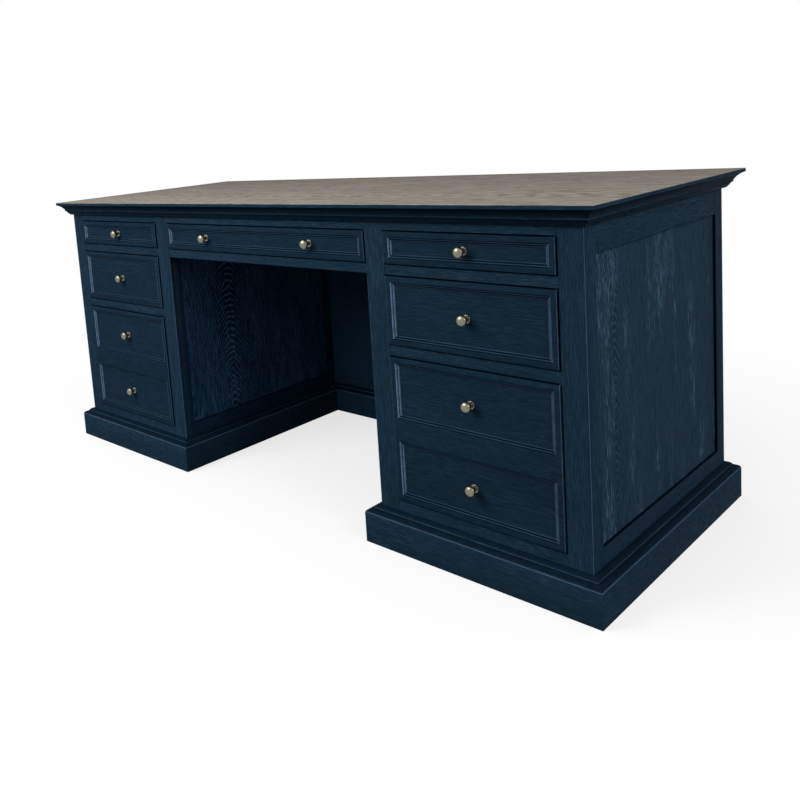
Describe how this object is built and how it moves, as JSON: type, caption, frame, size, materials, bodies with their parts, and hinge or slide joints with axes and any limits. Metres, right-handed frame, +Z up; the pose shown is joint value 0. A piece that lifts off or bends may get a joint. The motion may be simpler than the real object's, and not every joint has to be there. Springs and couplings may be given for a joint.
{
  "type": "pedestal desk",
  "caption": "Executive pedestal desk in dark lacquered oak with a brown moulded top, framed and panelled sides, inset drawers on slides with round knobs, a kneehole and a moulded plinth.",
  "frame": {"origin": "on the floor under the middle of the top's outline", "axes": "+X to the right for someone facing the drawers, -Y out of the drawer fronts, +Z up"},
  "size_m": [1.8, 0.74, 0.781],
  "materials": {
    "blue_black_oak": "satin lacquer over open grain",
    "brown_oak": "satin, grain along the length",
    "drawer_oak": "clear matt",
    "antique_brass": "aged, polished on the crown",
    "slide_steel": "zinc plated"
  },
  "bodies": {
    "carcass": {"top_board": "brown_oak", "top_edge_moulding": "blue_black_oak", "bed_moulding": "blue_black_oak", "left_outer_stile": "blue_black_oak", "left_inner_stile": "blue_black_oak", "right_inner_stile": "blue_black_oak", "right_outer_stile": "blue_black_oak", "left_face_rails": "blue_black_oak", "right_face_rails": "blue_black_oak", "kneehole_rails": "blue_black_oak", "left_side_frame": "blue_black_oak", "left_side_panel": "blue_black_oak", "right_side_frame": "blue_black_oak", "right_side_panel": "blue_black_oak", "left_kneehole_frame": "blue_black_oak", "left_kneehole_panel": "blue_black_oak", "right_kneehole_frame": "blue_black_oak", "right_kneehole_panel": "blue_black_oak", "back_frame": "blue_black_oak", "back_panels": "blue_black_oak", "modesty_panel": "blue_black_oak", "pedestal_floors": "blue_black_oak", "left_plinth": "blue_black_oak", "right_plinth": "blue_black_oak", "back_plinth": "blue_black_oak", "left_base_moulding": "blue_black_oak", "right_base_moulding": "blue_black_oak", "back_base_moulding": "blue_black_oak", "runner_packers": "drawer_oak", "cabinet_runners": "slide_steel"},
    "left_top_drawer": {"left_top_front": "blue_black_oak", "left_top_box": "drawer_oak", "left_top_knob": "antique_brass", "left_top_runners": "slide_steel"},
    "left_middle_drawer": {"left_middle_front": "blue_black_oak", "left_middle_box": "drawer_oak", "left_middle_knob": "antique_brass", "left_middle_runners": "slide_steel"},
    "left_file_drawer": {"left_file_front": "blue_black_oak", "left_file_box": "drawer_oak", "left_file_knobs": "antique_brass", "left_file_runners": "slide_steel"},
    "centre_drawer": {"centre_front": "blue_black_oak", "centre_box": "drawer_oak", "centre_knobs": "antique_brass", "centre_runners": "slide_steel"},
    "right_top_drawer": {"right_top_front": "blue_black_oak", "right_top_box": "drawer_oak", "right_top_knob": "antique_brass", "right_top_runners": "slide_steel"},
    "right_middle_drawer": {"right_middle_front": "blue_black_oak", "right_middle_box": "drawer_oak", "right_middle_knob": "antique_brass", "right_middle_runners": "slide_steel"},
    "right_file_drawer": {"right_file_front": "blue_black_oak", "right_file_box": "drawer_oak", "right_file_knobs": "antique_brass", "right_file_runners": "slide_steel"},
    "left_file_links": {"left_file_runner_links": "slide_steel"},
    "right_file_links": {"right_file_runner_links": "slide_steel"}
  },
  "joints": [
    {"name": "left_top_slide", "type": "slide", "parent": "carcass", "child": "left_top_drawer", "axis": [0, -1, 0], "range_m": [0, 0.4]},
    {"name": "left_middle_slide", "type": "slide", "parent": "carcass", "child": "left_middle_drawer", "axis": [0, -1, 0], "range_m": [0, 0.4]},
    {"name": "left_file_slide", "type": "slide", "parent": "carcass", "child": "left_file_drawer", "axis": [0, -1, 0], "range_m": [0, 0.55]},
    {"name": "centre_slide", "type": "slide", "parent": "carcass", "child": "centre_drawer", "axis": [0, -1, 0], "range_m": [0, 0.4]},
    {"name": "right_top_slide", "type": "slide", "parent": "carcass", "child": "right_top_drawer", "axis": [0, -1, 0], "range_m": [0, 0.4]},
    {"name": "right_middle_slide", "type": "slide", "parent": "carcass", "child": "right_middle_drawer", "axis": [0, -1, 0], "range_m": [0, 0.4]},
    {"name": "right_file_slide", "type": "slide", "parent": "carcass", "child": "right_file_drawer", "axis": [0, -1, 0], "range_m": [0, 0.55]},
    {"name": "left_file_link_slide", "type": "slide", "parent": "carcass", "child": "left_file_links", "axis": [0, -1, 0], "range_m": [0, 0.275]},
    {"name": "right_file_link_slide", "type": "slide", "parent": "carcass", "child": "right_file_links", "axis": [0, -1, 0], "range_m": [0, 0.275]}
  ],
  "couplings": [
    {"joint": "left_file_link_slide", "follows": "left_file_slide", "ratio": 0.5},
    {"joint": "right_file_link_slide", "follows": "right_file_slide", "ratio": 0.5}
  ]
}
